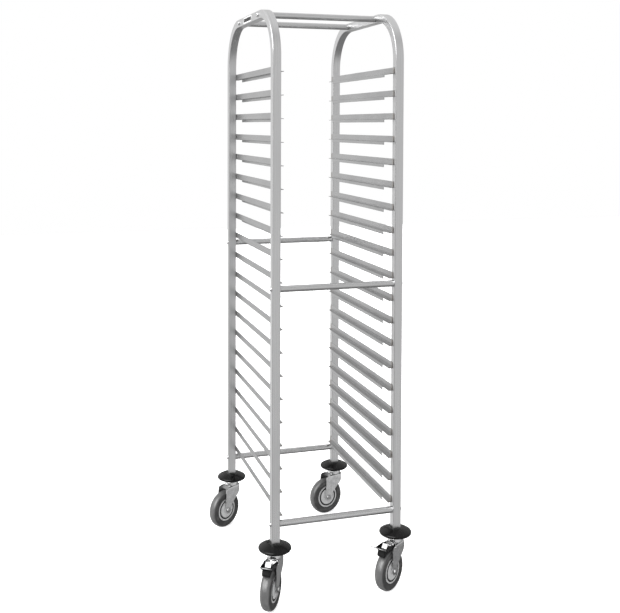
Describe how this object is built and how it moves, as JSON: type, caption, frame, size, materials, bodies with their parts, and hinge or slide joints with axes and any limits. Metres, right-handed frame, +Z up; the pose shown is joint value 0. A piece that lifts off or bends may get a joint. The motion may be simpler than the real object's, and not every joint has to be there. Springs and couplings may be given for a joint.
{
  "type": "sheet pan rack",
  "caption": "Tall open tray rack of two bent square-tube side frames with Z-section runners, round cross bars and swivel casters with domed round bumpers and front brakes.",
  "frame": {"origin": "on the floor under the middle of the whole outline, parked casters included", "axes": "+Z up, -Y towards the front that trays go in from, +X to the right seen from the front"},
  "size_m": [0.5103, 0.7026, 1.72],
  "materials": {
    "brushed_stainless": "satin brushed stainless steel with fine grain along each tube",
    "polished_tube": "round stainless tube, brighter than the frames",
    "bright_zinc": "bright zinc-plated pressed steel",
    "bumper_black": "smooth black plastic with a low sheen",
    "tyre_rubber": "dark grey non-marking rubber, worn lighter on the tread",
    "wheel_grey": "light grey moulded plastic",
    "shoe_rubber": "black moulded rubber",
    "label_plain": "plain dark label plate with nothing printed on it"
  },
  "bodies": {
    "frame": {"side_frame_left": "brushed_stainless", "side_frame_right": "brushed_stainless", "label_plate": "label_plain", "cross_bar_top_front": "polished_tube", "cross_bar_top_rear": "polished_tube", "cross_bar_middle_front": "polished_tube", "cross_bar_middle_rear": "polished_tube", "cross_bar_bottom_front": "polished_tube", "cross_bar_bottom_rear": "polished_tube", "bolt_top_front_left": "bright_zinc", "bolt_top_front_right": "bright_zinc", "bolt_top_rear_left": "bright_zinc", "bolt_top_rear_right": "bright_zinc", "bolt_middle_front_left": "bright_zinc", "bolt_middle_front_right": "bright_zinc", "bolt_middle_rear_left": "bright_zinc", "bolt_middle_rear_right": "bright_zinc", "bolt_bottom_front_left": "bright_zinc", "bolt_bottom_front_right": "bright_zinc", "bolt_bottom_rear_left": "bright_zinc", "bolt_bottom_rear_right": "bright_zinc", "bumper_front_left": "bumper_black", "bumper_front_right": "bumper_black", "bumper_rear_left": "bumper_black", "bumper_rear_right": "bumper_black", "caster_stem_front_left": "bright_zinc", "caster_stem_front_right": "bright_zinc", "caster_stem_rear_left": "bright_zinc", "caster_stem_rear_right": "bright_zinc"},
    "swivel_front_left": {"caster_fork_front_left": "bright_zinc", "wheel_axle_front_left": "bright_zinc", "brake_pin_front_left": "bright_zinc"},
    "wheel_front_left": {"wheel_centre_front_left": "wheel_grey", "tyre_front_left": "tyre_rubber"},
    "brake_front_left": {"brake_pedal_front_left": "bright_zinc", "brake_shoe_front_left": "shoe_rubber"},
    "swivel_front_right": {"caster_fork_front_right": "bright_zinc", "wheel_axle_front_right": "bright_zinc", "brake_pin_front_right": "bright_zinc"},
    "wheel_front_right": {"wheel_centre_front_right": "wheel_grey", "tyre_front_right": "tyre_rubber"},
    "brake_front_right": {"brake_pedal_front_right": "bright_zinc", "brake_shoe_front_right": "shoe_rubber"},
    "swivel_rear_left": {"caster_fork_rear_left": "bright_zinc", "wheel_axle_rear_left": "bright_zinc"},
    "wheel_rear_left": {"wheel_centre_rear_left": "wheel_grey", "tyre_rear_left": "tyre_rubber"},
    "swivel_rear_right": {"caster_fork_rear_right": "bright_zinc", "wheel_axle_rear_right": "bright_zinc"},
    "wheel_rear_right": {"wheel_centre_rear_right": "wheel_grey", "tyre_rear_right": "tyre_rubber"}
  },
  "joints": [
    {"name": "swivel_front_left", "type": "hinge", "parent": "frame", "child": "swivel_front_left", "pos_m": [-0.1665, -0.2535, 0.14], "axis": [0, 0, 1], "continuous": true},
    {"name": "roll_front_left", "type": "hinge", "parent": "swivel_front_left", "child": "wheel_front_left", "pos_m": [-0.18607, -0.28252, 0.06048], "axis": [0.829, -0.5592, 0], "continuous": true},
    {"name": "brake_front_left", "type": "hinge", "parent": "swivel_front_left", "child": "brake_front_left", "pos_m": [-0.18328, -0.27837, 0.13], "axis": [0.829, -0.5592, 0], "range_deg": [0, 5]},
    {"name": "swivel_front_right", "type": "hinge", "parent": "frame", "child": "swivel_front_right", "pos_m": [0.2085, -0.2535, 0.14], "axis": [0, 0, 1], "continuous": true},
    {"name": "roll_front_right", "type": "hinge", "parent": "swivel_front_right", "child": "wheel_front_right", "pos_m": [0.17983, -0.27358, 0.06048], "axis": [0.5736, -0.8192, 0], "continuous": true},
    {"name": "brake_front_right", "type": "hinge", "parent": "swivel_front_right", "child": "brake_front_right", "pos_m": [0.18393, -0.27071, 0.13], "axis": [0.5736, -0.8192, 0], "range_deg": [0, 5]},
    {"name": "swivel_rear_left", "type": "hinge", "parent": "frame", "child": "swivel_rear_left", "pos_m": [-0.1665, 0.3015, 0.14], "axis": [0, 0, 1], "continuous": true},
    {"name": "roll_rear_left", "type": "hinge", "parent": "swivel_rear_left", "child": "wheel_rear_left", "pos_m": [-0.1965, 0.28347, 0.06048], "axis": [0.515, -0.8572, 0], "continuous": true},
    {"name": "swivel_rear_right", "type": "hinge", "parent": "frame", "child": "swivel_rear_right", "pos_m": [0.2085, 0.3015, 0.14], "axis": [0, 0, 1], "continuous": true},
    {"name": "roll_rear_right", "type": "hinge", "parent": "swivel_rear_right", "child": "wheel_rear_right", "pos_m": [0.17454, 0.29303, 0.06048], "axis": [0.2419, -0.9703, 0], "continuous": true}
  ]
}
